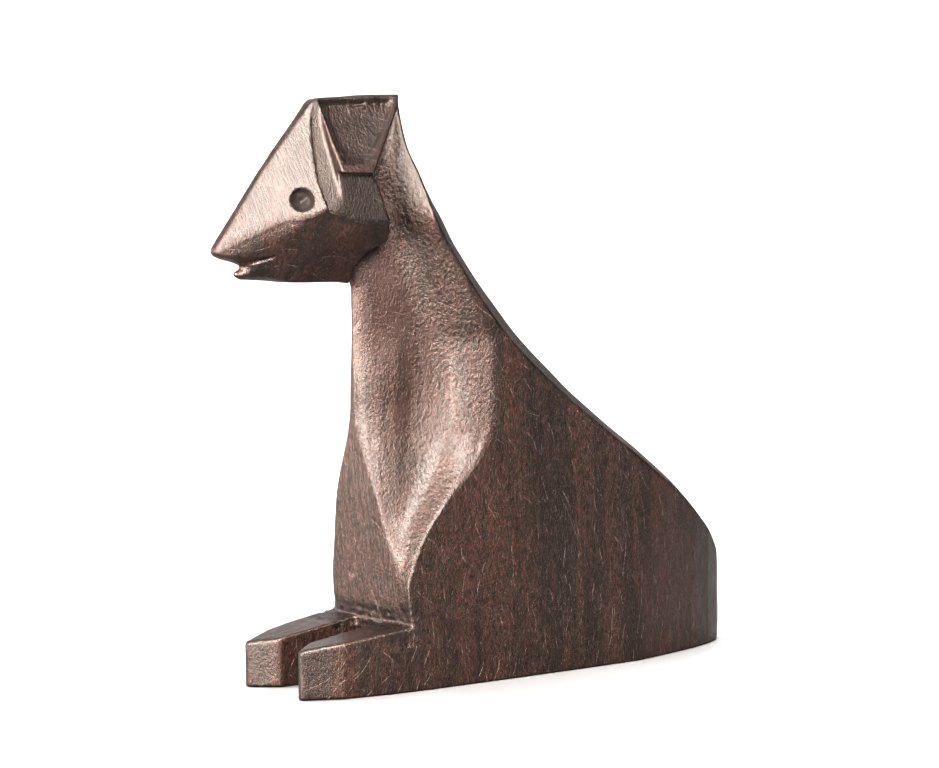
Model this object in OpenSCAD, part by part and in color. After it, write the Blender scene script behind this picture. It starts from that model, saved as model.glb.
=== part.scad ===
// Small resting animal carved from one block of dark hardwood.
// Frame: +Z up, nose towards -Y, mid-plane at X = 0, origin on the
// resting plane under the middle of the bounding box. Millimetres.

/* [Overall] */
// Half of the full width of the block, measured at the paws' level
block_half_w = 8.75; // [8.6:0.05:9.2]
// How much each flank leans in per millimetre of height
flank_lean = 0.05; // [0.03:0.005:0.06]
// Height of the crest above the resting plane
crest_z = 65; // [64.6:0.1:65.6]
// Half width of the flat left along the crest
crest_half_w = 0.6; // [0.4:0.05:0.9]
// Slope of the roof-shaped head, half width gained per millimetre down
roof_k = 0.57; // [0.5:0.01:0.62]

/* [Head] */
// Furthest point of the nose
nose_y = -35.5; // [-36.2:0.1:-35]
// Height of the nose tip
nose_z = 48.7; // [48.4:0.1:49.2]
// Radius of the gouge that made the eye
eye_r = 2.2; // [2:0.05:2.5]
// Depth of the eye dimple below the face
eye_depth = 0.75; // [0.4:0.05:1]
// Depth of the hollow of the ear below its rims
ear_hollow = 0.45; // [0.2:0.05:0.7]
// Depth of the notch under the ear, below the cheek
cheek_notch = 1.0; // [0.5:0.1:1.4]
// Height of the mouth groove
mouth_gap = 0.45; // [0.3:0.05:0.7]

/* [Neck and chest] */
// Half width of the narrow strip down the front of the neck
throat_half_w = 0.6; // [0.4:0.05:0.9]
// Front of the neck
neck_front_y = -17.85; // [-18.1:0.05:-17.6]
// Height where the chest facet begins to widen
chest_top_z = 29; // [28.5:0.1:30]
// How far the chest leans back per millimetre down
chest_lean = 0.13; // [0.11:0.005:0.14]

/* [Legs] */
// Half width of the gap between the forelegs
leg_gap_half = 2.7; // [2.4:0.05:3]
// Height of the forelegs just behind the paws
leg_h = 5.4; // [5.2:0.1:5.8]
// Rise of the top of the forelegs per millimetre towards the chest
leg_rise = 0.15; // [0.14:0.005:0.17]
// How far the tips of the paws reach forward
paw_y = -27.9; // [-28.4:0.1:-27.4]

/* [Back] */
// Half width of the flat left along the shoulders
back_flat = 3.0; // [2.6:0.1:3.4]
// Furthest point of the rump
rump_y = 35.2; // [34.9:0.1:35.6]

/* [Hidden] */
$fn = 48;
wood = [0.20, 0.13, 0.11];
eps = 0.01;

// ---- sections of the neck channel, each a function of height ----
// half width of the front edge
function f_x(z) = lookup(z, [[8, 6.4], [11, 5.9], [14, 5.4], [17, 4.8],
    [20, 4.1], [23, 3.1], [26, 1.9], [chest_top_z, throat_half_w + 0.15], [31, throat_half_w], [66, throat_half_w]]);
// front edge, along Y
function f_y(z) = neck_front_y + max(0, chest_top_z - z) * chest_lean;
// deepest line of the channel
function v_x(z) = lookup(z, [[8, 6.9], [11, 6.5], [14, 6.1], [20, 5.1], [28, 3.6],
    [38, 3.1], [48, 3.0], [53, 2.9], [57, 2.6], [60, 1.9], [63, 0.9], [66, 0.2]]);
function v_y(z) = lookup(z, [[8, -14.6], [11, -14.4], [14, -13.9], [20, -11.8], [28, -9],
    [33, -8], [38, -8.3], [43, -9.8], [48, -13], [52, -15.5], [56, -15], [60, -13.6], [64, -11.6]]);
// ridge where the channel meets the flank
function r_x(z) = lookup(z, [[8, 7.9], [11, 7.9], [15, 7.9], [20, 7.75], [38, 6.85], [43, 6.6], [48, 6.2],
    [52, 5.6], [56, 4.3], [60, 2.9], [64, 1.0], [65, 0.6]]);
function r_y(z) = lookup(z, [[8, -14.9], [11, -14.6], [15, -13.6], [17.5, -12.3], [20, -10.6],
    [25.5, -6], [28, -5], [31.5, -4.6], [37.5, -4.4], [40, -5.6], [43, -7], [48, -8.9],
    [52, -10.7], [56, -11], [60, -11.4], [65, -11.2]]);

// profile of the back from the crest down to the tail, [y, z]
back_line = [[-10.8, crest_z], [-11, 60], [-10.3, 57], [-8.9, 54.2], [-6, 50.2], [-4.4, 47.8],
    [-2.7, 45.4], [0, 42], [3.1, 38.5], [6.5, 35], [10.4, 31.3], [15, 27.5], [20, 23.7],
    [25.1, 19.8], [29.2, 15.9], [31.9, 13.2], [33.5, 10.8], [rump_y - 0.7, 8.4], [rump_y, 4.8], [rump_y, 1.6], [rump_y - 0.6, 0]];

// profile of the front from the crest down over nose, chest and paws
front_line = [[paw_y, 0], [paw_y - 0.15, leg_h - 0.35], [paw_y + 0.5, leg_h - 0.1],
    [-16, leg_h + leg_rise * (-16 - paw_y)], [f_y(8.3), 8.3], [neck_front_y, chest_top_z], [neck_front_y, 44.2],
    [-18.4, 44.7], [-29.7, 45.15], [-32.2, 45.25], [-32.9, 45.8], [-32.9, 46.2], [-32.1, 46.75], [-32.1, 46.95],
    [-33, 47.5], [nose_y + 0.35, 48], [nose_y, nose_z], [-29.2, 57.1], [-24.05, 63.3], [-22.9, crest_z - 0.3],
    [-22.2, crest_z - 0.15]];

// outline of the body seen from above, right half, [x, y]
plan_half = [[leg_gap_half, paw_y + 3.2], [5.2, paw_y - 0.3], [7.5, paw_y + 4.3], [8.3, -18.2], [block_half_w, -12.5],
    [block_half_w, -2.5], [8.55, 7.5], [8.25, 17], [6.9, 22.7], [5.3, 28], [4.2, 30.8], [3, 32.8], [1.5, rump_y - 0.4], [0, rump_y]];

module both() { children(); mirror([1, 0, 0]) children(); }

// everything beyond the plane through p, on the side n points to
module beyond(p, n, s = 90)
    translate(p) rotate([0, acos(n[2] / norm(n)), atan2(n[1], n[0])])
        translate([-s / 2, -s / 2, 0]) cube([s, s, s]);

// a [y, z] outline pushed through the whole width
module side_prism(pts, h = 40)
    rotate([90, 0, 90]) linear_extrude(height = h, center = true) polygon(pts);

module sawn_block()
    intersection() {
        side_prism(concat(front_line, back_line), 2 * block_half_w + 4);
        union() {
            linear_extrude(height = crest_z + 1)
                polygon(concat([[0, paw_y + 3.2]], plan_half,
                    [for (i = [len(plan_half) - 2 : -1 : 0]) [-plan_half[i][0], plan_half[i][1]]]));
            translate([-block_half_w, -40, 40]) cube([2 * block_half_w, 40, crest_z]);
        }
        // the two flanks lean in, and the head closes like a roof
        rotate([90, 0, 0]) linear_extrude(height = 100, center = true)
            polygon([[-block_half_w, -1], [block_half_w, -1], [block_half_w, 0],
                [block_half_w - flank_lean * 50, 50], [crest_half_w + roof_k * 9.3, crest_z - 9.3],
                [crest_half_w, crest_z + eps], [-crest_half_w, crest_z + eps],
                [-crest_half_w - roof_k * 9.3, crest_z - 9.3], [-block_half_w + flank_lean * 50, 50], [-block_half_w, 0]]);
    }

// the large facet from the nose bridge to the cheek
module face_cut()
    intersection() {
        beyond([0.5, nose_y, nose_z], [0.81, -0.461, 0.362]);
        side_prism([[-40, 46], [-23.6, 46], [-23.6, 53.2], [-24, 56], [-24, 60.3], [-24.3, 63.2], [-23.4, 66], [-40, 66]]);
    }

// side of the jaw, leaning in downwards and forwards
module jaw_cut()
    intersection() {
        beyond([5.2, -23.6, 53.2], [0.905, -0.135, -0.402]);
        side_prism([[-40, 44], [-14.8, 44], [-14.8, 60], [-40, 60]]);
    }

// strip between the face and the front rim of the ear
module temple_cut()
    intersection() {
        beyond([1.7, -23.9, 60.3], [0.83, -0.30, 0.47]);
        side_prism([[-24.7, 66], [-24.2, 60.3], [-24.15, 56], [-23.75, 52.8], [-21.9, 52.8], [-22, 56.8], [-22.3, 60.7], [-22.4, 66]]);
    }

// hollow of the ear, an inverted trapezium between two rims
module ear_cut()
    intersection() {
        beyond([crest_half_w - ear_hollow, 0, crest_z], [1, 0, roof_k]);
        side_prism([[-21.9, 62.9], [-21.7, 57.4], [-18.8, 57.4], [-13.2, 62.9]]);
    }

// square notch under the ear
module cheek_notch_cut()
    intersection() {
        beyond([5.3 - cheek_notch, -20, 54], [1, 0.02, 0]);
        side_prism([[-22.6, 52.6], [-16.6, 52.6], [-16.6, 56.3], [-18, 56.6], [-22.4, 56.6]]);
    }

// part of the head that the neck channel leaves standing
module head_keep()
    difference() {
        side_prism([[-40, 43.6], [-18.3, 43.6], [-17.8, 44.3], [-17.8, 46.4], [-17.3, 47.9], [-15.9, 48.8], [-15.4, 49.6], [-16.4, 52.6], [-17.2, 56.2],
            [-17.7, 57], [-12.2, 63.2], [-10.7, 66], [-40, 66]]);
        beyond([1, -29.7, 45.2], [0.845, -0.02, -0.534]);
        beyond([-1, -29.7, 45.2], [-0.845, -0.02, -0.534]);
    }

// long gouged channel from behind the ear down to the foot of the chest
levels = [8.4, 11, 14, 17, 20, 23, 26, 29, 32, 35, 38, 40.5, 43, 46, 49, 51.6, 54, 56.4, 59.4, 62.4, 65.5];
// how far the side of the neck swells between its front edge and the channel
function bulge(z) = lookup(z, [[8, 0.05], [14, 0.08], [23, 0.25], [66, 0.25]]);
function ring(z) = let (f = [f_x(z), f_y(z)], v = [v_x(z), v_y(z)], r = [r_x(z), r_y(z)],
        n = v - f, m = r - v)
    // the cut starts a little ahead of the front edge, so that it leaves no sliver there
    [[f[0] - 0.06 * n[0], -40, z], [f[0] - 0.06 * n[0], f[1] - 0.06 * n[1], z],
     [f[0] + 0.5 * n[0] + bulge(z), f[1] + 0.5 * n[1], z],
     [v[0], v[1], z],
     [v[0] + 0.22 * m[0], v[1] + 0.42 * m[1], z],
     [v[0] + 0.6 * m[0], v[1] + 0.78 * m[1], z],
     [r[0], r[1], z], [r[0] + 6, r[1] + 0.6, z], [30, r[1] + 0.6, z], [30, -40, z]];
module neck_channel() {
    rows = [for (z = levels) ring(z)];
    n = len(rows[0]);
    k = len(rows);
    difference() {
        polyhedron(points = [for (r = rows) each r],
            faces = concat(
                [[for (i = [n - 1 : -1 : 0]) i]],
                [[for (i = [0 : n - 1]) (k - 1) * n + i]],
                [for (j = [0 : k - 2]) for (i = [0 : n - 1]) each
                    [[j * n + i, (j + 1) * n + (i + 1) % n, (j + 1) * n + i],
                     [j * n + i, j * n + (i + 1) % n, (j + 1) * n + (i + 1) % n]]]),
            convexity = 6);
        head_keep();
    }
}

// bevel along the back, deepest at the shoulders
function unit(v) = v / norm(v);
function back_n(i) = let (a = back_line[max(i - 1, 0)], b = back_line[min(i + 1, len(back_line) - 1)], d = unit(b - a))
    [-d[1], d[0]];
function bevel_x(z) = lookup(z, [[3, 1.5], [8, 2.6], [13, 3.2], [19, 4.4], [23, 4.8], [27, 4.6], [31, 4], [35, 3.4],
    [38, back_flat], [48, back_flat], [52, 3.8], [57, 4.6]]);
function bevel_d(z) = lookup(z, [[3, 1.4], [13, 2.4], [23, 2.7], [30, 3.4], [38, 4.7], [48, 5], [52, 3.2], [57, 2]]);
module back_bevel() {
    first = 1;
    last = 16;
    pts = [for (i = [first : last]) let (p = back_line[i], q = back_n(i), x = bevel_x(p[1]), d = bevel_d(p[1]))
        each [[x, p[0], p[1]], [10, p[0] - q[0] * d, p[1] - q[1] * d],
              [14, p[0] + q[0] * 4, p[1] + q[1] * 4], [x, p[0] + q[0] * 4, p[1] + q[1] * 4]]];
    k = last - first + 1;
    polyhedron(points = pts,
        faces = concat([[3, 2, 1, 0]], [[for (i = [0 : 3]) (k - 1) * 4 + i]],
            [for (j = [0 : k - 2]) for (i = [0 : 3]) each
                [[j * 4 + i, j * 4 + (i + 1) % 4, (j + 1) * 4 + (i + 1) % 4],
                 [j * 4 + i, (j + 1) * 4 + (i + 1) % 4, (j + 1) * 4 + i]]]),
        convexity = 6);
}

// round dimple struck with a small gouge
module eye_cut()
    translate([3.45, -26.1, 54.05] + (eye_r - eye_depth) * [0.81, -0.461, 0.362]) sphere(r = eye_r);

// shallow groove that draws the mouth back along the jaw
module mouth_cut()
    translate([1.75, -30.9, 47.25]) rotate([13, 0, 15]) translate([0, 0, 0])
        cube([1.5, 4.6, mouth_gap], center = true);

module leg_gap()
    translate([-leg_gap_half, -40, -1]) cube([2 * leg_gap_half, 40 + f_y(8.3) + 0.2, 9.2]);

// shifts the figure so that its bounding box is centred on the origin
y_shift = -(nose_y + rump_y) / 2;

module carved_figure()
    color(wood) translate([0, y_shift, 0])
    difference() {
        sawn_block();
        leg_gap();
        both() {
            face_cut();
            jaw_cut();
            temple_cut();
            ear_cut();
            cheek_notch_cut();
            neck_channel();
            back_bevel();
            eye_cut();
            mouth_cut();
        }
    }

carved_figure();
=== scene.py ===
import math
import bpy
import numpy as np
from mathutils import Matrix, Vector


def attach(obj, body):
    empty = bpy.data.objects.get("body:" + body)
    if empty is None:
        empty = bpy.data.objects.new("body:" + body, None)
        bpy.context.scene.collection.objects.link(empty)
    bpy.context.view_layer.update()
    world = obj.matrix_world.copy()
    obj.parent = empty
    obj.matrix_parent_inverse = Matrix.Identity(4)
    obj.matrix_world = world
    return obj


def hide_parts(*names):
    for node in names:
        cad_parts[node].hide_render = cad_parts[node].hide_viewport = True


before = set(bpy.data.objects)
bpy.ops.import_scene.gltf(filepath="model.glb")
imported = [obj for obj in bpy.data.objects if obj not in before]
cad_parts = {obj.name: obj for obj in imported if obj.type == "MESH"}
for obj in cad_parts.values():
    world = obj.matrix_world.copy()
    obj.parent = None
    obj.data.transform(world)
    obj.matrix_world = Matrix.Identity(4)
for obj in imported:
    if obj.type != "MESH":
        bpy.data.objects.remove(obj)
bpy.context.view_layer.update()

STEP = 0.2      # grid of the carved mesh, mm
FACES_MAX = 196000

# ---------------------------------------------------------------- shape helpers
def unit(v):
    v = np.asarray(v, float)
    return v / np.linalg.norm(v)

def smax(a, b, k):
    h = np.clip(0.5 + 0.5 * (a - b) / k, 0.0, 1.0)
    return b * (1.0 - h) + a * h + k * h * (1.0 - h)

def smin(a, b, k):
    return -smax(-a, -b, k)

def sstep(lo, hi, v):
    t = np.clip((v - lo) / (hi - lo), 0.0, 1.0)
    return t * t * (3.0 - 2.0 * t)

class Lut:
    """A smooth monotone curve through given (height, value) pairs."""
    def __init__(self, *pairs):
        x = np.array([p[0] for p in pairs], float)
        y = np.array([p[1] for p in pairs], float)
        d = np.diff(y) / np.diff(x)
        m = np.zeros(len(x))
        for i in range(1, len(x) - 1):
            if d[i - 1] * d[i] > 0:
                w1 = 2 * (x[i + 1] - x[i]) + (x[i] - x[i - 1])
                w2 = (x[i + 1] - x[i]) + 2 * (x[i] - x[i - 1])
                m[i] = (w1 + w2) / (w1 / d[i - 1] + w2 / d[i])
        m[0], m[-1] = d[0], d[-1]
        n = 1400
        gx = np.linspace(x[0], x[-1], n)
        j = np.clip(np.searchsorted(x, gx, side="right") - 1, 0, len(x) - 2)
        h = x[j + 1] - x[j]
        t = (gx - x[j]) / h
        self.v = ((2 * t**3 - 3 * t**2 + 1) * y[j] + (t**3 - 2 * t**2 + t) * h * m[j]
                  + (-2 * t**3 + 3 * t**2) * y[j + 1] + (t**3 - t**2) * h * m[j + 1])
        self.x0, self.k, self.n = x[0], (n - 1) / (x[-1] - x[0]), n
    def __call__(self, z):
        s = np.clip((z - self.x0) * self.k, 0, self.n - 1.001)
        i = s.astype(np.int32)
        f = s - i
        return self.v[i] * (1 - f) + self.v[i + 1] * f

def curve(pts, n=6, closed=False):
    """Catmull-Rom points through the given ones."""
    p = np.array(pts, float)
    q = np.vstack([2 * p[0] - p[1], p, 2 * p[-1] - p[-2]])
    out = []
    for i in range(1, len(q) - 2):
        a, b, c, d = q[i - 1], q[i], q[i + 1], q[i + 2]
        for s in np.arange(n) / n:
            out.append(0.5 * ((2 * b) + (-a + c) * s + (2 * a - 5 * b + 4 * c - d) * s**2
                              + (-a + 3 * b - 3 * c + d) * s**3))
    out.append(p[-1])
    return [tuple(v) for v in out]

def poly_sdf(px, py, poly):
    poly = np.array(poly, float)
    best = np.full(px.shape, 1e9)
    inside = np.zeros(px.shape, bool)
    for (ax, ay), (bx, by) in zip(poly, np.roll(poly, -1, axis=0)):
        ex, ey = bx - ax, by - ay
        wx, wy = px - ax, py - ay
        t = np.clip((wx * ex + wy * ey) / (ex * ex + ey * ey + 1e-12), 0, 1)
        best = np.minimum(best, (wx - ex * t) ** 2 + (wy - ey * t) ** 2)
        if by != ay:
            cross = ((ay > py) != (by > py)) & (px < ex * (py - ay) / (by - ay) + ax)
            inside ^= cross
    d = np.sqrt(best)
    return np.where(inside, -d, d)

class Plane2D:
    """A flat outline's signed distance, tabulated and read back by interpolation."""
    def __init__(self, poly, lo, hi, h=0.1):
        self.lo, self.h = np.array(lo, float), h
        nx, ny = (int(np.ceil((b - a) / h)) + 1 for a, b in zip(lo, hi))
        gx = lo[0] + h * np.arange(nx)
        gy = lo[1] + h * np.arange(ny)
        self.t = poly_sdf(*np.meshgrid(gx, gy, indexing="ij"), poly)
        self.nx, self.ny = nx, ny
    def __call__(self, x, y):
        u = np.clip((x - self.lo[0]) / self.h, 0, self.nx - 1.001)
        v = np.clip((y - self.lo[1]) / self.h, 0, self.ny - 1.001)
        i, j = u.astype(np.int32), v.astype(np.int32)
        fu, fv = u - i, v - j
        t = self.t
        return ((t[i, j] * (1 - fu) + t[i + 1, j] * fu) * (1 - fv)
                + (t[i, j + 1] * (1 - fu) + t[i + 1, j + 1] * fu) * fv)

# ---------------------------------------------------------------- noise
def _hash(ix, iy, iz, seed):
    n = (ix.astype(np.int64) * 374761393 + iy.astype(np.int64) * 668265263
         + iz.astype(np.int64) * 1274126177 + seed * 974634777) & 0x7FFFFFFF
    n = ((n ^ (n >> 13)) * 1103515245 + 12345) & 0x7FFFFFFF
    n = ((n ^ (n >> 15)) * 69069 + 1) & 0x7FFFFFFF
    return ((n >> 7) & 0xFFFF) / 65535.0

def vnoise(x, y, z, seed=0):
    ix, iy, iz = np.floor(x), np.floor(y), np.floor(z)
    fx, fy, fz = x - ix, y - iy, z - iz
    fx, fy, fz = (t * t * t * (t * (t * 6 - 15) + 10) for t in (fx, fy, fz))
    r = 0.0
    for dx in (0, 1):
        for dy in (0, 1):
            for dz in (0, 1):
                w = (fx if dx else 1 - fx) * (fy if dy else 1 - fy) * (fz if dz else 1 - fz)
                r = r + w * _hash(ix + dx, iy + dy, iz + dz, seed)
    return 2.0 * r - 1.0

def worley(x, y, z, seed=0):
    """Distance to the nearest and second nearest scattered points."""
    ix, iy, iz = np.floor(x), np.floor(y), np.floor(z)
    d1 = np.full(x.shape, 9.0)
    d2 = np.full(x.shape, 9.0)
    for dx in (-1, 0, 1):
        for dy in (-1, 0, 1):
            for dz in (-1, 0, 1):
                cx, cy, cz = ix + dx, iy + dy, iz + dz
                d = ((cx + _hash(cx, cy, cz, seed) - x) ** 2 + (cy + _hash(cx, cy, cz, seed + 1) - y) ** 2
                     + (cz + _hash(cx, cy, cz, seed + 2) - z) ** 2)
                d2 = np.minimum(d2, np.maximum(d1, d))
                d1 = np.minimum(d1, d)
    return np.sqrt(d1), np.sqrt(d2)

# ---------------------------------------------------------------- the carved figure, millimetres
# +Z up, nose towards -Y, mid-plane X = 0.  Y0 centres the bounding box on the origin.
NOSE_Y, RUMP_Y = -35.5, 35.2
Y0 = -(NOSE_Y + RUMP_Y) / 2
CREST = 65.0
PAW = -27.9

BACK = curve([(-10.8, 65.0), (-11.0, 60.0), (-10.3, 57.0), (-8.9, 54.2), (-6.2, 50.2), (-4.5, 47.8), (-2.7, 45.4),
              (0.1, 42.0), (3.2, 38.5), (6.7, 35.0), (10.6, 31.3), (15.2, 27.5), (20.3, 23.7), (25.4, 19.8),
              (29.6, 15.9), (32.2, 13.2), (33.8, 10.8), (34.8, 8.0), (35.2, 4.6), (35.2, 1.8), (34.7, 0.5), (33.9, -0.6)], 5)[:-1] + [(33.9, -1.5)]
FRONT = [(PAW, -1.5), (PAW, 0.5), (PAW - 0.1, 5.9), (-15.0, 7.2), (-15.08, 7.6), (-17.78, 28.4), (-17.88, 30.0),
         (-17.88, 43.9), (-18.2, 44.55), (-19.0, 44.75), (-29.7, 45.2), (-32.0, 45.25), (-32.75, 45.65), (-32.95, 46.1),
         (-32.8, 46.45), (-32.0, 46.75), (-31.9, 46.95), (-32.3, 47.15), (-33.1, 47.45), (-34.6, 47.85), (NOSE_Y + 0.25, 48.15),
         (NOSE_Y, 48.6), (NOSE_Y + 0.15, 49.05), (-32.4, 52.9), (-29.25, 57.05), (-26.5, 60.35), (-24.1, 63.2),
         (-23.2, 64.3), (-22.5, 64.75), (-21.5, 64.88), (-15.0, 65.0), (-11.2, 65.0)]
SIDE = Plane2D(FRONT + BACK, (-38, -2), (38, 68))
BACKD = Plane2D([(60.0, -30.0), (36.2, -6.0), (35.5, 0.2)] + BACK[-8::-1] + [(-11.0, 80.0), (-60.0, 80.0), (-60.0, -30.0)],
                (-38, -2), (38, 68))
PLAN = Plane2D([(0, PAW + 1.0), (2.4, PAW + 3.0), (5.15, PAW - 0.35), (5.45, PAW - 0.1), (7.45, PAW + 4.3), (8.25, -18.0),
                (8.68, -12.5), (8.75, -2.5), (8.6, 7.5), (8.25, 17.0), (6.95, 22.7), (5.45, 28.0), (4.3, 30.9),
                (3.0, 33.3), (1.5, 34.8), (0, RUMP_Y), (-3, RUMP_Y), (-3, PAW + 1.0)], (-0.5, -40), (11, 38))
KEEP = Plane2D([(-42, 42.0), (-18.6, 42.0), (-18.15, 44.4), (-18.15, 46.3), (-17.4, 47.8), (-15.9, 48.8), (-14.9, 49.3),
                (-15.9, 52.0), (-16.8, 55.4), (-17.6, 56.9), (-11.9, 63.6), (-10.6, 66.5), (-10.6, 70), (-42, 70)], (-38, 30), (38, 68))
TEMPLE = Plane2D([(-22.0, 67), (-22.5, 64.6), (-23.2, 62.4), (-23.6, 60.3), (-24.05, 56), (-23.7, 52.9), (-21.7, 52.9), (-22.1, 57.2),
                  (-22.35, 60.7), (-22.2, 67)], (-38, 30), (38, 68))
EAR = Plane2D([(-22.3, 67), (-21.9, 60), (-21.3, 57.6), (-18.5, 57.6), (-14.6, 61.2), (-12.6, 63.6), (-10.6, 67)], (-38, 30), (38, 68))
NOTCH = Plane2D([(-23.5, 52.9), (-21.9, 51.5), (-14.0, 51.2), (-14.0, 56.6), (-18.2, 56.75), (-21.7, 56.85), (-23.4, 57.6)], (-38, 30), (38, 68))

face_y = Lut((44, -23.5), (53, -23.75), (56, -24.05), (60.3, -23.6), (62.4, -23.2), (64.6, -22.5), (67, -22.0))
f_x = Lut((8, 6.4), (11, 5.9), (14, 5.4), (17, 4.8), (20, 4.1), (23, 3.1), (26, 1.9), (28.5, 0.95), (31, 0.62), (66, 0.6))
v_x = Lut((8, 6.6), (11, 6.65), (14, 6.4), (17, 5.9), (20, 5.2), (28, 3.7), (33, 3.2), (38, 2.9), (40, 2.8), (44, 2.5), (48, 2.0), (52, 1.4),
          (54, 1.15), (57, 1.1), (60, 0.9), (63, 0.55), (66, 0.2))
v_y = Lut((8, -15.3), (11, -15.3), (14, -15.15), (17, -14.4), (20, -13.0), (24, -11.0), (28, -9.2), (33, -8.2), (38, -8.7), (40, -9.1),
          (44, -10.2), (48, -11.6), (52, -12.8), (54, -13.2), (57, -13.6), (60, -13.0), (64, -11.8))
r_x = Lut((8, 7.6), (11, 7.7), (15, 7.95), (20, 7.75), (38, 6.85), (43, 6.6), (48, 6.2), (52, 5.6), (56, 4.3), (60, 2.9), (64, 1.0), (66, 0.6))
r_yn = Lut((8, -16.0), (11, -15.7), (15, -14.2), (17.5, -12.6), (20, -10.5), (25.5, -6.0), (28, -5.0), (31.5, -4.6), (37.5, -4.4),
           (40, -5.6), (43, -7.0), (48, -8.9), (52, -10.7), (56, -11.0), (60, -11.4), (65, -11.2))
r_yf = Lut((8, -14.2), (11, -14.0), (15, -13.0), (17.5, -11.9), (20, -10.3), (25.5, -6.0), (28, -5.0), (31.5, -4.6), (37.5, -4.4),
           (40, -5.6), (43, -7.0), (48, -8.9), (52, -10.7), (56, -11.0), (60, -11.4), (65, -11.2))
bev_x = Lut((3, 1.5), (8, 2.6), (13, 3.2), (19, 4.3), (23, 4.8), (27, 4.5), (31, 3.9), (35, 3.3), (38, 3.0), (48, 3.0), (52, 3.4), (56, 3.4), (60, 2.1), (64, 0.5))
bev_k = Lut((3, 0.5), (13, 0.6), (23, 0.65), (30, 0.72), (38, 0.8), (48, 0.85), (52, 0.9), (57, 0.9))

FACE_N, JAW_N, CHIN_N = unit([0.81, -0.461, 0.362]), unit([0.905, -0.135, -0.402]), unit([0.845, -0.02, -0.534])
TEMPLE_N, ROOF_N = unit([1.0, -0.25, 0.38]), unit([1.0, 0.0, 0.57])
EYE_C, EYE_R, EYE_D = np.array([3.45, -26.1, 54.05]), 1.28, 1.10

def plane(x, y, z, p, n):
    return (x - p[0]) * n[0] + (y - p[1]) * n[1] + (z - p[2]) * n[2]

def neck_section(x, y, z, side):
    """Signed distance, in each level plane, to the outline of neck, channel and shoulder ridge."""
    fx, fy = f_x(z), -17.88 + np.maximum(0, 28.5 - z) * 0.128
    vx, vy, rx = v_x(z), v_y(z), r_x(z)
    ry = r_yn(z) * (1 - side) + r_yf(z) * side
    w = sstep(20, 29, z) * sstep(40, 32, z)        # where the front edge is rubbed round
    ex, ey = vx - fx, vy - fy
    mx, my = fx + 0.5 * ex + 0.25 * sstep(10, 26, z) + 0.40 * w, fy + (0.5 - 0.24 * w) * ey
    sx, sy = vx - 0.22 * ex, vy - 0.30 * ey        # where the side begins to turn into the hollow
    wx_, wy_ = vx + 0.30 * (rx - vx), vy + 0.34 * (ry - vy)
    pts = [(-2.0, fy), (fx, fy)]
    for t in (0.25, 0.5, 0.75, 1.0):      # front edge to the hollow
        a, b, c = (1 - t) ** 2, 2 * t * (1 - t), t * t
        pts.append((a * fx + b * mx + c * sx, a * fy + b * my + c * sy))
    for t in (0.25, 0.5, 0.75, 1.0):      # through the hollow
        a, b, c = (1 - t) ** 2, 2 * t * (1 - t), t * t
        pts.append((a * sx + b * vx + c * wx_, a * sy + b * vy + c * wy_))
    pts.append((rx, ry))                  # up the rear wall
    pts.append((rx + 30.0, ry + 4.0))
    best = np.full(x.shape, 1e9)
    yc = np.full(x.shape, -1e3)
    for (ax, ay), (bx, by) in zip(pts[:-1], pts[1:]):
        ex, ey = bx - ax, by - ay
        wx, wy = x - ax, y - ay
        t = np.clip((wx * ex + wy * ey) / (ex * ex + ey * ey + 1e-9), 0, 1)
        best = np.minimum(best, (wx - ex * t) ** 2 + (wy - ey * t) ** 2)
        m = (x >= ax) & (x < bx)
        yc = np.where(m, ay + ey * (x - ax) / np.maximum(ex, 1e-6), yc)
    d = np.sqrt(best)
    return np.where(y < yc, d, -d)

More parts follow.
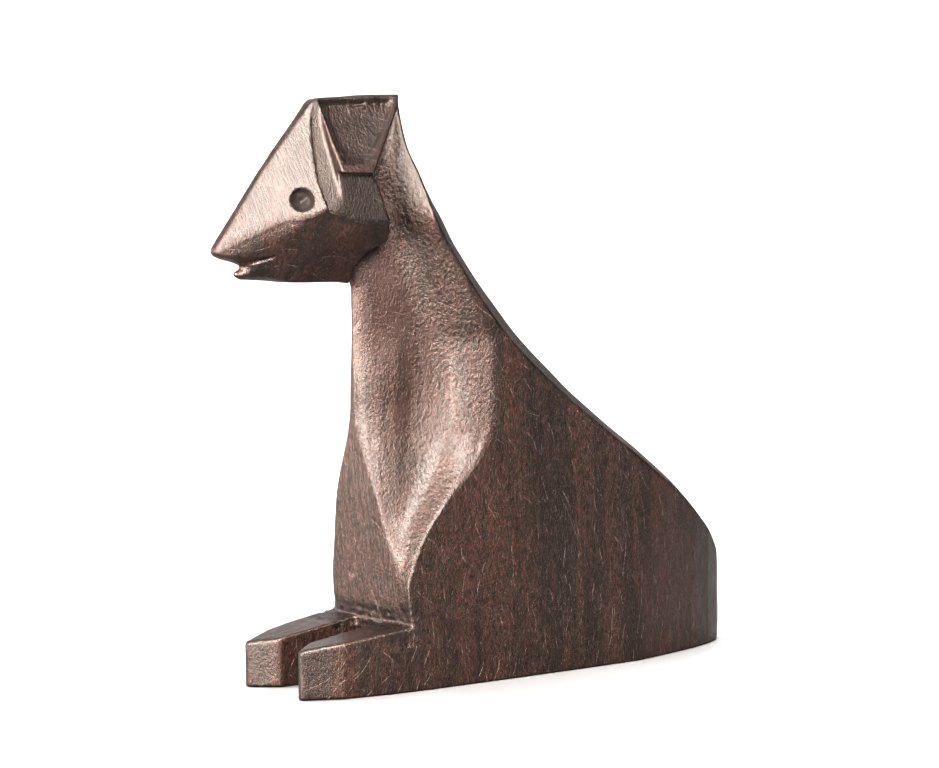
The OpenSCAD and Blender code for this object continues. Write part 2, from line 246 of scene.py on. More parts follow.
def shape(P, parts=False):
    X, y, z = P[:, 0].astype(float), P[:, 1].astype(float) - Y0, P[:, 2].astype(float)
    x = np.abs(X)
    side = sstep(0.5, -0.5, X)           # 0 on the near side (+X), 1 on the far side
    g = {}
    # low, wide undulations of the hand-cut planes
    wob = 0.05 * vnoise(X * 0.16 + 3.1, y * 0.13, z * 0.13, 5) + 0.03 * vnoise(X * 0.3, y * 0.33, z * 0.3, 9)
    side_d = SIDE(y, z)
    back_d = BACKD(y, z)
    flank = (x - (8.75 - 0.05 * z)) * 0.9988
    body = np.where(z > 41.5, flank, smax(flank, PLAN(x, y), 0.8))
    roof = plane(x, y, z, (0.6, 0, CREST), ROOF_N)
    common = smax(body, roof, 1.2)
    g["flank"], g["side"], g["back"] = common, side_d, back_d
    # back: sawn surface with a bevel that fades towards the tail
    bx, bk = bev_x(z), bev_k(z)
    bev = (back_d + (x - bx) * bk) / np.sqrt(1 + bk * bk)
    g["bevel"] = bev
    back = smax(smax(back_d, bev, 1.3), side_d, 0.18)
    common = smax(common, back, 0.25)

    # neck, channel and shoulder
    m = (y > -22) & (y < 8) & (z > 4.0) & (x > -0.1)
    neck = np.full(x.shape, -6.0)
    neck[m] = neck_section(x[m], y[m], z[m], side[m])
    neck = np.where(y < -21.5, 4.0, neck)
    top = (z - (5.28 + 0.152 * (y - PAW) + 0.30 * (1 - side) * sstep(2, 7, x) - 0.12 * side)) * 0.985
    g["neck"] = neck
    neck = smin(neck, top, 0.3)
    # the ridge is crisp low down and at the back of the head, rubbed round in between
    A = smax(common, neck, 0.55 + 2.1 * sstep(20, 30, z) * sstep(52, 43, z))

    # head: face, jaw, chin, temple, ear and the notch under it
    face = plane(x, y, z, (0.55, NOSE_Y, 48.7), FACE_N)
    face_r = np.maximum(y - face_y(z), 46.0 - z)
    f = smax(common, -smax(-face, face_r, 0.15), 0.12)
    jaw = plane(x, y, z, (5.25, -23.6, 53.2), JAW_N)
    f = smax(f, jaw - 4.0 * sstep(55, 57, z), 0.25 + 1.5 * sstep(-25.0, -28.5, y))
    chin = plane(x, y, z, (0.95, -29.7, 45.2), CHIN_N)
    f = smax(f, chin - 4.0 * sstep(52, 54, z), 0.15)
    tem = plane(x, y, z, (1.85, -23.6, 60.3), TEMPLE_N) - 0.25 * sstep(62.0, 64.5, z)
    f = smax(f, -smax(-tem, TEMPLE(y, z) - 0.12, 0.22), 0.14)
    er = EAR(y, z)
    hollow = 0.50 * sstep(0.02, -0.40, er) * sstep(56.9, 59.6, z) + 0.18 * sstep(-0.3, -1.6, er)
    hollow = hollow * sstep(65.0, 63.9, z)
    ear = roof + hollow - 0.02
    f = smax(f, -smax(-ear, er, 0.10), 0.12)
    nt = NOTCH(y, z)
    notch = 0.97 * (x - 4.95 - 0.02 * (y + 22) + 0.17 * (z - 52.6))
    f = smax(f, -smax(-notch, nt, 0.22), 0.16)
    keep = KEEP(y, z)
    f = smax(f, keep, 0.16)
    g.update(face=face, jaw=jaw, chin=chin, temple=tem, ear=ear, notch=notch, keep=keep, earmask=er, notchmask=nt)
    f = smin(A, f, 0.22)

    # gap between the forelegs and their tops, the far one a little lower
    chest_d = y - (-17.88 + np.maximum(0, 28.5 - z) * 0.128)
    gap = np.maximum(np.maximum(x - 2.62, chest_d - 0.1), z - 9.5)
    f = smax(f, -gap, 0.28)
    leg = -smax(-top, chest_d, 0.25)
    f = smax(f, np.where((z < 12) & (y < -14.5), leg, -5.0), 0.25)
    g.update(gap=-gap, legtop=top)
    # eye: a short round gouge stroke with a round, rough bottom
    e = np.sqrt((x - EYE_C[0] - (EYE_R - EYE_D) * FACE_N[0]) ** 2 + (y - EYE_C[1] - (EYE_R - EYE_D) * FACE_N[1]) ** 2
                + (z - EYE_C[2] - (EYE_R - EYE_D) * FACE_N[2]) ** 2) - EYE_R
    eye = e + 0.06 * vnoise(X * 1.6, y * 1.6, z * 1.6, 15)
    g["eye"] = e
    f = smax(f, -eye, 0.10)
    # mouth: groove along the jaw from the notch in the profile
    t = np.clip((y + 33.2) / 4.5, 0, 1)
    mz = 46.85 + 1.15 * t ** 0.9
    mo = np.abs(z - mz) * 0.93 - (0.28 - 0.16 * t)
    mo = np.maximum(mo, np.maximum(y + 28.7, -(jaw + 0.42 - 0.25 * t)))
    f = smax(f, -mo, 0.10)
    g["mouth"] = mo
    # resting plane
    f = smax(f, -z, 0.25)
    f = f + wob * sstep(0.0, 1.5, z)
    if parts:
        return f, g
    return f

def extract(h=0.2):
    """Mesh of shape() = 0: a coarse pass finds where the surface is, surface nets then follow it."""
    n = 5
    lo = np.array([-9.5, -37.0, -1.0])
    cn = (19, 74, 68)
    big = h * n
    cc = [lo[a] + big * (np.arange(cn[a]) + 0.5) - h * 0.5 for a in range(3)]
    C = np.stack(np.meshgrid(*cc, indexing="ij"), -1).reshape(-1, 3)
    fc = shape(C)
    act = np.abs(fc) < 1.5 * big
    arr = np.repeat(np.repeat(np.repeat(fc.reshape(cn), n, 0), n, 1), n, 2).astype(np.float32)
    ids = np.nonzero(act)[0]
    ci = np.stack(np.unravel_index(ids, cn), -1)
    off = np.stack(np.meshgrid(*[np.arange(n)] * 3, indexing="ij"), -1).reshape(-1, 3)
    fi = (ci[:, None, :] * n + off[None]).reshape(-1, 3)
    for s in range(0, len(fi), 700000):
        q = fi[s:s + 700000]
        arr[q[:, 0], q[:, 1], q[:, 2]] = shape(lo + h * q)
    s = arr < 0
    cnt = np.zeros(tuple(d - 1 for d in s.shape), np.int8)
    for dx in (0, 1):
        for dy in (0, 1):
            for dz in (0, 1):
                cnt += s[dx:s.shape[0] - 1 + dx, dy:s.shape[1] - 1 + dy, dz:s.shape[2] - 1 + dz]
    cells = np.argwhere((cnt > 0) & (cnt < 8))
    idx = np.full(cnt.shape, -1, np.int32)
    idx[cells[:, 0], cells[:, 1], cells[:, 2]] = np.arange(len(cells))
    corners = [(dx, dy, dz) for dx in (0, 1) for dy in (0, 1) for dz in (0, 1)]
    val = np.stack([arr[cells[:, 0] + c[0], cells[:, 1] + c[1], cells[:, 2] + c[2]] for c in corners], 1).astype(float)
    acc = np.zeros((len(cells), 3))
    num = np.zeros(len(cells))
    for a in range(8):
        for b in range(a + 1, 8):
            ca, cb = np.array(corners[a]), np.array(corners[b])
            if np.abs(ca - cb).sum() != 1:
                continue
            va, vb = val[:, a], val[:, b]
            m = (va < 0) != (vb < 0)
            t = np.where(m, va / np.where(m, va - vb, 1), 0)
            acc += np.where(m[:, None], ca + t[:, None] * (cb - ca), 0)
            num += m
    V = lo + h * (cells + acc / num[:, None])
    quads = []
    for ax in range(3):
        sl0 = [slice(None)] * 3
        sl1 = [slice(None)] * 3
        sl0[ax], sl1[ax] = slice(0, -1), slice(1, None)
        e = np.argwhere(s[tuple(sl0)] != s[tuple(sl1)])
        u, w = [(1, 2), (2, 0), (0, 1)][ax]
        e = e[(e[:, u] > 0) & (e[:, w] > 0)]
        ring = []
        for du, dw in ((0, 0), (-1, 0), (-1, -1), (0, -1)):
            c = e.copy()
            c[:, u] += du
            c[:, w] += dw
            ring.append(idx[c[:, 0], c[:, 1], c[:, 2]])
        q = np.stack(ring, 1)
        inside_first = s[e[:, 0], e[:, 1], e[:, 2]]
        q[~inside_first] = q[~inside_first][:, ::-1]
        quads.append(q)
    Q = np.concatenate(quads)
    assert (Q >= 0).all()
    return V, Q

def gradient(P, e=0.03):
    g = np.empty_like(P)
    for a in range(3):
        d = np.zeros(3)
        d[a] = e
        g[:, a] = (shape(P + d) - shape(P - d)) / (2 * e)
    return g

def project(V, n=2, cap=0.12):
    for _ in range(n):
        f = shape(V)
        g = gradient(V)
        g2 = np.maximum((g * g).sum(1), 0.05)
        step = -(f / g2)[:, None] * g
        ln = np.linalg.norm(step, axis=1, keepdims=True)
        V = V + step * np.minimum(1, cap / np.maximum(ln, 1e-9))
    return V

def relax(V, Q, amount=0.5):
    s = np.zeros_like(V)
    c = np.zeros(len(V))
    for a, b in ((0, 1), (1, 2), (2, 3), (3, 0)):
        for i, j in ((a, b), (b, a)):
            for k in range(3):
                s[:, k] += np.bincount(Q[:, i], V[Q[:, j], k], len(V))
            c += np.bincount(Q[:, i], minlength=len(V))
    return V + amount * (s / c[:, None] - V)

def normals(V, Q):
    n = np.cross(V[Q[:, 2]] - V[Q[:, 0]], V[Q[:, 3]] - V[Q[:, 1]])
    out = np.zeros_like(V)
    for i in range(4):
        for k in range(3):
            out[:, k] += np.bincount(Q[:, i], n[:, k], len(V))
    return out / np.maximum(np.linalg.norm(out, axis=1, keepdims=True), 1e-12)

# ---------------------------------------------------------------- tool marks, in the geometry
def displaced(V, Q):
    """Shallow marks of knife, gouge and rasp, along the normals."""
    _, g = shape(V, True)
    n = normals(V, Q)
    X, y, z = V[:, 0], V[:, 1] - Y0, V[:, 2]
    x = np.abs(X)
    on = lambda d, w=0.22: sstep(w, 0.4 * w, np.abs(d))
    soft = 0.25 + 1.5 * sstep(22, 30, z) * sstep(50, 42, z)
    chan = sstep(soft + 0.25, 0.4 * soft, np.abs(g["neck"])) * sstep(8.5, 10.0, z) * sstep(f_x(z) - 0.3, f_x(z) + 0.5, x)
    face = on(g["face"], 0.15) * sstep(-23.6, -24.4, y)
    jaw = on(g["jaw"], 0.15)
    ear = on(g["ear"], 0.15) * sstep(0.1, -0.3, g["earmask"]) * (z > 57)
    flank = on(g["flank"], 0.15)
    chest = (1 - sstep(f_x(z) - 0.5, f_x(z) + 0.1, x)) * sstep(30, 27, z) * sstep(8.2, 9.0, z) * (y < -13)
    leg = on(g["legtop"], 0.15) * (z < 9)
    # gouge dimples, overlapping like hammered scales; weaker on the flat side of the neck
    d1, d2 = worley(X * 1.25 + 3.3, y * 1.45, z * 1.15, 11)
    e1, e2 = worley(X * 2.4 + 1.3, y * 2.7 + 0.5, z * 2.2, 23)
    gouge = 0.62 * sstep(0.0, 0.5, d2 - d1) + 0.38 * sstep(0.0, 0.5, e2 - e1)
    rear = sstep(v_x(z) - 0.5, v_x(z) + 0.5, x)
    strength = chan * (0.016 + 0.034 * rear + 0.010 * vnoise(X * 0.3, y * 0.3, z * 0.2, 31))
    d = -strength * gouge
    # long knife facets along the face, and fine ridges that run with the forehead
    along = 0.61 * (y + 30) + 0.79 * (z - 52)
    across = -0.79 * (y + 30) + 0.61 * (z - 52)
    up_, over_ = 0.12 * (y + 30) + 0.99 * (z - 52), -0.99 * (y + 30) + 0.12 * (z - 52)
    d -= face * (0.034 * np.abs(vnoise(over_ * 2.6, up_ * 0.16, X * 0.3, 41))
                 + 0.040 * np.abs(vnoise(across * 0.8, along * 0.10, X * 0.2, 42)))
    d -= jaw * 0.030 * np.abs(vnoise(across * 1.2, along * 0.5, X * 0.4, 43)) * sstep(56, 54, z)
    # short vertical strokes in the hollow of the ear
    d -= ear * (0.035 * np.abs(vnoise(y * 2.6, z * 0.45, X * 0.5, 51)) + 0.02 * vnoise(y * 1.1, z * 0.8, X, 52))
    # flank: rasped flat, with faint broad waves and a few dents
    d -= flank * (0.012 * np.abs(vnoise(y * 0.9, z * 0.35, X * 0.2, 61)) + 0.006 * vnoise(y * 2.7, z * 1.9, X, 62))
    # chest: vertical knife strokes
    d -= chest * (0.022 * np.abs(vnoise(X * 1.7, z * 0.10, y * 0.1, 71)) + 0.010 * vnoise(X * 4.5, z * 0.35, y * 0.2, 72))
    # tops of the legs: strokes along the leg, cuts across the foot of the chest
    d -= leg * (0.030 * np.abs(vnoise(X * 1.4, y * 0.25, z * 0.2, 81)) + 0.03 * np.abs(vnoise(X * 2.2, y * 2.0, z, 82)) * sstep(-19.0, -16.5, y))
    # gouge cuts where the chest meets the legs
    foot = sstep(9.6, 7.6, z) * sstep(-19.5, -17.0, y) * sstep(-13.5, -15.0, y) * (z > 5.0)
    d -= foot * (0.16 * np.abs(vnoise(X * 1.3, y * 1.6, z * 1.1, 85)) + 0.07 * np.abs(vnoise(X * 3.1, y * 3.0, z * 2.4, 86)))
    # rough, torn bottom of the eye
    d -= sstep(0.10, -0.05, g["eye"]) * (0.10 * vnoise(X * 2.3, y * 2.3, z * 2.3, 88) + 0.05 * vnoise(X * 4.6, y * 4.6, z * 4.6, 89))
    # end faces of the paws: split, ribbed end grain
    endf = sstep(0.75, 0.95, -n[:, 1]) * (z < 7.5) * (y < -22)
    d -= endf * (0.05 * np.abs(vnoise(X * 1.9, z * 0.22, y * 0.3, 91)) + 0.03 * np.abs(vnoise(X * 4.2, z * 0.5, y, 92)))
    # worn and nicked edges
    out = shape(V + 0.35 * n)
    edge = sstep(0.02, 0.20, 0.35 - out)
    nick = sstep(0.25, 0.75, vnoise(X * 0.9, y * 0.9, z * 0.9, 101)) * 0.6 + sstep(0.35, 0.8, vnoise(X * 2.1, y * 2.1, z * 2.1, 102)) * 0.4
    d -= edge * 0.045 * nick * sstep(64.6, 63.5, z)
    # a faint fine unevenness all over
    d += 0.006 * vnoise(X * 3.0, y * 3.0, z * 3.0, 111)
    d *= sstep(0.0, 0.6, z)
    return V + d[:, None] * n

V, Q = extract(STEP)
V = project(V)
for amount in (0.5, 0.4):
    V = relax(V, Q, amount)
    V = project(V, 1)
V = displaced(V, Q)
V[:, 2] = np.maximum(V[:, 2], 0.0)

# drop specks that aren't joined to the figure
par = np.arange(len(V))
ed = np.concatenate([Q[:, [0, 1]], Q[:, [1, 2]], Q[:, [2, 3]], Q[:, [3, 0]]])
while True:
    lo = np.minimum(par[ed[:, 0]], par[ed[:, 1]])
    new = par.copy()
    np.minimum.at(new, ed[:, 0], lo)
    np.minimum.at(new, ed[:, 1], lo)
    new = new[new]
    if (new == par).all():
        break
    par = new
main = np.bincount(par).argmax()
used = par == main
Q = Q[used[Q[:, 0]]]
remap = np.cumsum(used) - 1
V, Q = V[used], remap[Q]

me = bpy.data.meshes.new("carved_figure_visual")
me.vertices.add(len(V))
me.vertices.foreach_set("co", (V * 0.001).astype(np.float32).ravel())
me.loops.add(len(Q) * 4)
me.loops.foreach_set("vertex_index", Q.astype(np.int32).ravel())
me.polygons.add(len(Q))
me.polygons.foreach_set("loop_start", (np.arange(len(Q)) * 4).astype(np.int32))
me.update(calc_edges=True)
figure = bpy.data.objects.new("carved_figure_visual", me)
bpy.context.scene.collection.objects.link(figure)

if len(Q) * 2 > FACES_MAX:
    dec = figure.modifiers.new("fewer", "DECIMATE")
    dec.ratio = FACES_MAX / (len(Q) * 2)
    dg = bpy.context.evaluated_depsgraph_get()
    lean = bpy.data.meshes.new_from_object(figure.evaluated_get(dg))
    figure.modifiers.clear()
    figure.data = lean
    bpy.data.meshes.remove(me)
    me = lean
    me.name = "carved_figure_visual"
me.polygons.foreach_set("use_smooth", np.ones(len(me.polygons), dtype=bool))

# ---------------------------------------------------------------- regions, kept on the vertices
nv = len(me.vertices)
co = np.empty(nv * 3, np.float32)
me.vertices.foreach_get("co", co)
P = co.reshape(-1, 3).astype(float) * 1000
nn = np.empty(nv * 3, np.float32)
me.vertices.foreach_get("normal", nn)
N = nn.reshape(-1, 3).astype(float)
_, G = shape(P, True)
X, y, z = P[:, 0], P[:, 1] - Y0, P[:, 2]
x = np.abs(X)
on = lambda d, w=0.3: sstep(w, 0.5 * w, np.abs(d))

def keep_attr(name, values):
    a = me.attributes.new(name, "FLOAT", "POINT")
    a.data.foreach_set("value", np.clip(values, 0, 1).astype(np.float32))

# notch_in, eye_in, temple_in and foot_in make r_notch, the mask of painted shade in the notch under the ear, the eye,
# the strip in front of the ear and the foot of the chest
notch_in = sstep(0.15, -0.15, G["notchmask"]) * (x > 3.0)
ear_in = sstep(0.10, -0.10, G["earmask"]) * (z > 57.2) * (y > -23)
eye_in = sstep(0.12, -0.02, G["eye"])
chest = (1 - sstep(f_x(z) - 0.15, f_x(z) + 0.05, x)) * sstep(30.5, 28.5, z) * sstep(8.0, 8.6, z) * (y < -13)
soft = 0.3 + 1.6 * sstep(22, 30, z) * sstep(50, 42, z)
tex = np.maximum(np.maximum(sstep(v_x(z) - 0.9, v_x(z) + 0.3, x), sstep(50, 53, z)),
                 0.9 * sstep(f_x(z) + 2.4, f_x(z) + 1.4, x) * sstep(17, 24, z) * sstep(38, 33, z))
chan = (0.22 + 0.78 * tex) * sstep(soft + 0.3, 0.4 * soft, np.abs(G["neck"])) * sstep(8.4, 9.2, z) * (1 - chest) * sstep(0.45, 0.75, x) * (1 - notch_in) * (y < 2)
# backs: the sawn back and the band beside it, where the colour below paints shade
backs = sstep(1.5, 0.4, np.abs(G["back"])) * (y > -12)
backs = np.maximum(backs, sstep(-3.3, -1.9, G["side"]) * (y > -12) * sstep(24, 30, z) * sstep(62, 58, z))
chan = chan * (1 - 0.7 * backs)
temple_in = sstep(0.30, 0.10, np.abs(G["temple"])) * (z > 53.6) * (y > -24.2) * (y < -18.5) * (1 - ear_in) * (1 - notch_in)
foot_in = sstep(9.6, 8.6, z) * sstep(-18.8, -17.6, y) * (y < -14) * (z > 6.0)
face = on(G["face"]) * sstep(-23.8, -24.3, y) * (1 - eye_in)
jaw = on(G["jaw"]) * sstep(55, 54, z)
leg = on(G["legtop"]) * (z < 9) * sstep(0.5, 0.8, N[:, 2])
ends = sstep(0.7, 0.9, -N[:, 1]) * (z < 8) * (y < -20)
edge = sstep(0.03, 0.17, 0.35 - shape(P + 0.35 * N))
# cav: creases and hollows, the mask of painted shade in the colour
cav = sstep(0.02, 0.16, 0.35 + shape(P - 0.35 * N)) * 0.0 + sstep(0.03, 0.25, shape(P + 0.5 * N) - 0.5)
cav = np.maximum(cav, sstep(0.06, 0.3, 0.9 - shape(P + 0.9 * N)) * 0.0)
for name, v in (("r_eye", sstep(0.14, 0.04, G["eye"])), ("r_chan", chan), ("r_face", face), ("r_chest", chest), ("r_jaw", jaw), ("r_ear", np.maximum(ear_in, 0)),
                ("r_notch", np.maximum(np.maximum(notch_in, eye_in), np.maximum(0.55 * temple_in, 0.7 * foot_in))), ("r_leg", leg), ("r_ends", ends), ("r_edge", edge), ("r_cav", cav), ("r_back", backs),
                ("r_shade", sstep(0.5, 0.2, np.abs(G["neck"])) * (1 - tex) * (y < -7) * (1 - chest) * (z < 50) * (z > 14))):
    keep_attr(name, v)

# ---------------------------------------------------------------- wood
class Graph:
    def __init__(self, mat):
        mat.use_nodes = True
        self.t = mat.node_tree
        self.t.nodes.clear()
    def node(self, kind, **kw):
        n = self.t.nodes.new(kind)
        for k, v in kw.items():
            setattr(n, k, v)
        return n
    def put(self, sock, v):
        if isinstance(v, bpy.types.NodeSocket):
            self.t.links.new(v, sock)
        elif v is not None:
            sock.default_value = v
    def math(self, op, a, b=None, c=None, clamp=False):
        n = self.node("ShaderNodeMath", operation=op, use_clamp=clamp)
        for s, v in zip(n.inputs, (a, b, c)):
            self.put(s, v)
        return n.outputs[0]
    def mul(self, a, b): return self.math("MULTIPLY", a, b)
    def add(self, a, b): return self.math("ADD", a, b)
    def ramp(self, v, lo, hi, a=0.0, b=1.0):
        n = self.node("ShaderNodeMapRange", interpolation_type="SMOOTHSTEP")
        for s, w in zip(n.inputs, (v, lo, hi, a, b)):
            self.put(s, w)
        return n.outputs[0]
    def mix(self, f, a, b, kind="MIX"):
        n = self.node("ShaderNodeMix", data_type="RGBA", blend_type=kind)
        self.put(n.inputs[0], f)
        self.put(n.inputs[6], a)
        self.put(n.inputs[7], b)
        return n.outputs[2]
    def attr(self, name):
        n = self.node("ShaderNodeAttribute", attribute_type="GEOMETRY")
        n.attribute_name = name
        return n.outputs["Fac"]
    def scaled(self, vec, s, shift=(0, 0, 0), rot=(0, 0, 0)):
        n = self.node("ShaderNodeMapping")
        n.inputs["Scale"].default_value = s
        n.inputs["Location"].default_value = shift
        n.inputs["Rotation"].default_value = rot
        self.put(n.inputs["Vector"], vec)
        return n.outputs[0]
    def noise(self, vec, detail=2.0, rough=0.5, distortion=0.0, scale=1.0):
        n = self.node("ShaderNodeTexNoise")
        self.put(n.inputs["Vector"], vec)
        n.inputs["Scale"].default_value = scale
        n.inputs["Detail"].default_value = detail
        n.inputs["Roughness"].default_value = rough
        n.inputs["Distortion"].default_value = distortion
        return n.outputs[0]
    def voronoi(self, vec, feature="F1", rand=1.0, scale=1.0):
        n = self.node("ShaderNodeTexVoronoi", feature=feature)
        self.put(n.inputs["Vector"], vec)
        n.inputs["Scale"].default_value = scale
        n.inputs["Randomness"].default_value = rand
        return n

def lin(r, g_, b):
    f = lambda c: c / 12.92 if c <= 0.04045 else ((c + 0.055) / 1.055) ** 2.4
    return (f(r / 255), f(g_ / 255), f(b / 255), 1.0)

def wood(name, specular):
    mat = bpy.data.materials.new(name)
    g = Graph(mat)
    tc = g.node("ShaderNodeTexCoord")
    base = g.scaled(tc.outputs["Object"], (1000, 1000, 1000))     # millimetres
    # the grain wanders a little
    drift = g.noise(g.scaled(base, (0.05, 0.05, 0.03)), 2)
    wander = g.node("ShaderNodeVectorMath", operation="MULTIPLY_ADD")
    cmb = g.node("ShaderNodeCombineXYZ")
    g.put(cmb.inputs[0], drift), g.put(cmb.inputs[1], drift)
    g.put(wander.inputs[0], cmb.outputs[0])
    wander.inputs[1].default_value = (3.0, 3.0, 0.0)
    g.put(wander.inputs[2], base)
    p = wander.outputs[0]

    r = {k: g.attr("r_" + k) for k in ("chan", "face", "chest", "jaw", "ear", "notch", "leg", "ends", "edge", "cav", "back", "shade", "eye")}

    streak = g.noise(g.scaled(p, (0.30, 0.30, 0.022)), 3, 0.55)
    streak2 = g.noise(g.scaled(p, (0.95, 0.95, 0.05), (7, 3, 1)), 3, 0.6)
    fibre = g.noise(g.scaled(p, (6.5, 6.5, 0.42), (1, 5, 2)), 3, 0.6)
    fine = g.noise(g.scaled(p, (16, 16, 1.6), (4, 2, 9)), 2, 0.6)
    mottle = g.noise(g.scaled(p, (0.9, 0.9, 0.6), (2, 8, 4)), 4, 0.65)

    c = g.mix(g.ramp(streak, 0.38, 0.62), lin(22, 14, 12), lin(50, 30, 24))
    c = g.mix(g.mul(g.ramp(streak2, 0.50, 0.72), 0.55), c, lin(62, 33, 26))
    c = g.mix(g.mul(g.ramp(fibre, 0.45, 0.75), 0.35), c, lin(66, 42, 34))
    c = g.mix(g.mul(g.ramp(mottle, 0.50, 0.75), 0.30), c, lin(60, 41, 34))
    c = g.mix(g.mul(g.ramp(fine, 0.52, 0.80), 0.25), c, lin(84, 58, 49))
    # the chest is a greyer, drier pink brown
    lines = g.ramp(g.noise(g.scaled(p, (3.2, 3.2, 0.16), (2, 2, 6)), 3, 0.6), 0.38, 0.62)
    c = g.mix(g.mul(r["chest"], 0.75), c, g.mix(lines, lin(56, 40, 35), lin(84, 64, 57)))
    # painted shade: the notch under the ear, the eye, the strip in front of the ear and the foot of the chest are
    # darkened towards near black
    c = g.mix(g.mul(r["notch"], 0.85), c, lin(13, 8, 7))
    # painted shade: the sawn back and the band beside it, turned away from the lamps, are darkened
    c = g.mix(g.mul(r["back"], 0.55), c, lin(20, 13, 11))
    # painted shade: the hollow of the ear is darkened
    c = g.mix(g.mul(r["ear"], 0.60), c, lin(18, 12, 10))
    c = g.mix(g.mul(r["ends"], 0.45), c, lin(26, 18, 15))

    # pores: short dark dashes with the grain
    v1 = g.voronoi(g.scaled(p, (5.2, 5.2, 0.75), (3, 1, 0))).outputs["Distance"]
    pores = g.ramp(v1, 0.20, 0.10)
    pick = g.ramp(g.noise(g.scaled(p, (1.6, 1.6, 0.5), (11, 4, 0)), 2), 0.44, 0.60)
    pores = g.mul(pores, pick)
    c = g.mix(g.mul(pores, 0.72), c, lin(20, 13, 12))

    # faint curved hair scratches, and small pale specks that are painted glints
    hair = None
    for i, (s, rot) in enumerate((((0.16, 0.16, 0.16), (0.3, 0.2, 0.1)), ((0.23, 0.23, 0.23), (1.1, 0.7, 0.4)))):
        q = g.scaled(base, s, (3 * i, 5, 2 * i), rot)
        wv = g.node("ShaderNodeTexWave", wave_type="RINGS", rings_direction="SPHERICAL")
        g.put(wv.inputs["Vector"], q)
        wv.inputs["Scale"].default_value = 0.9
        wv.inputs["Distortion"].default_value = 9.0
        wv.inputs["Detail"].default_value = 1.0
        wv.inputs["Detail Scale"].default_value = 0.7
        line = g.ramp(wv.outputs["Fac"], 0.9950, 0.9999)
        line = g.mul(line, g.ramp(g.noise(g.scaled(base, (0.35, 0.35, 0.35), (9 + i, 1, 3)), 2), 0.52, 0.60))
        hair = line if hair is None else g.math("MAXIMUM", hair, line)
    c = g.mix(g.mul(hair, 0.42), c, lin(132, 114, 106))
    # painted glints: small pale specks scattered over the wood
    sp = g.voronoi(g.scaled(base, (2.3, 2.3, 2.3)))
    painted_glints = g.ramp(sp.outputs["Distance"], 0.085, 0.05)
    rnd = g.node("ShaderNodeSeparateColor")
    g.put(rnd.inputs[0], sp.outputs["Color"])
    painted_glints = g.mul(painted_glints, g.math("GREATER_THAN", rnd.outputs[0], 0.55))
    c = g.mix(g.mul(painted_glints, 0.7), c, lin(176, 156, 144))

    # convex edges are paler, partly rubbed wear and partly a painted edge highlight; creases are darker, painted shade
    wear_and_edge_highlight = g.mul(r["edge"], g.ramp(g.noise(g.scaled(base, (0.7, 0.7, 0.7), (5, 5, 5)), 3, 0.6), 0.38, 0.62))
    c = g.mix(g.mul(wear_and_edge_highlight, 0.20), c, lin(118, 96, 88))
    # painted shade: creases and hollows are darkened
    c = g.mix(g.mul(r["cav"], 0.65), c, lin(18, 11, 10))

    salt = g.noise(g.scaled(p, (3.4, 3.4, 1.6), (3, 9, 5)), 4, 0.8)
    lift = g.ramp(salt, 0.36, 0.66, 0.08, 0.72)
    tone = g.node("ShaderNodeCombineColor")
    for k in range(3):
        g.put(tone.inputs[k], lift)
    c = g.mix(1.0, c, tone.outputs[0], "MULTIPLY")

    c = g.mix(g.mul(r["shade"], 0.62), c, lin(30, 15, 12))
    # painted shade: the pit of the eye is darkened to near black
    c = g.mix(g.mul(r["eye"], 0.80), c, lin(12, 8, 7))

    # sheen of handling and oil: broken up by the pores and the grain
    rough = g.ramp(mottle, 0.3, 0.7, 0.31, 0.42)
    rough = g.add(rough, g.mul(g.ramp(fibre, 0.35, 0.7), 0.08))
    rough = g.add(rough, g.mul(pores, 0.18))
    rough = g.add(rough, g.mul(r["chan"], 0.02))
    rough = g.add(rough, g.mul(r["face"], 0.02))
    rough = g.add(rough, g.mul(r["notch"], 0.03))
    rough = g.add(rough, g.mul(r["eye"], 0.42))
    rough = g.add(rough, g.mul(r["ends"], 0.12))
    rough = g.add(rough, g.mul(r["back"], 0.08))
    rough = g.add(rough, g.mul(r["chest"], 0.10))

    # relief that is too fine for the mesh
    face_p = g.scaled(base, (1, 1, 1), (0, 0, 0), (math.radians(-7.0), 0, 0))
    stria = g.noise(g.scaled(face_p, (0.8, 5.5, 0.32)), 3, 0.6)
    rough = g.add(rough, g.mul(g.mul(r["face"], g.ramp(stria, 0.40, 0.60)), 0.12))
    cell = g.voronoi(g.scaled(base, (2.6, 2.6, 2.1)), "SMOOTH_F1").outputs["Distance"]
    grit = g.noise(g.scaled(base, (4.4, 4.4, 3.0), (8, 8, 3)), 3, 0.75)
    relief = g.mul(fibre, 0.45)
    relief = g.add(relief, g.mul(fine, 0.40))
    relief = g.add(relief, g.mul(grit, 1.5))
    crackle = g.noise(g.scaled(base, (2.6, 3.0, 2.2), (1, 8, 3)), 3, 0.7, 0.6)
    relief = g.add(relief, g.mul(pores, -0.55))
    relief = g.add(relief, g.mul(hair, -0.25))
    relief = g.add(relief, g.mul(painted_glints, 0.35))
    relief = g.add(relief, g.mul(g.mul(stria, r["face"]), 1.8))
    relief = g.add(relief, g.mul(g.mul(cell, r["chan"]), 1.2))
    relief = g.add(relief, g.mul(g.mul(crackle, r["chan"]), 2.2))
    relief = g.add(relief, g.mul(g.mul(lines, r["chest"]), 0.9))
    tick = g.noise(g.scaled(base, (3.5, 3.5, 0.5), (6, 2, 1)), 2, 0.6)
    relief = g.add(relief, g.mul(g.mul(tick, g.math("MAXIMUM", r["ear"], r["ends"])), 1.6))
    bump = g.node("ShaderNodeBump")
    bump.inputs["Strength"].default_value = 1.0
    bump.inputs["Distance"].default_value = 0.00006
    g.put(bump.inputs["Height"], relief)

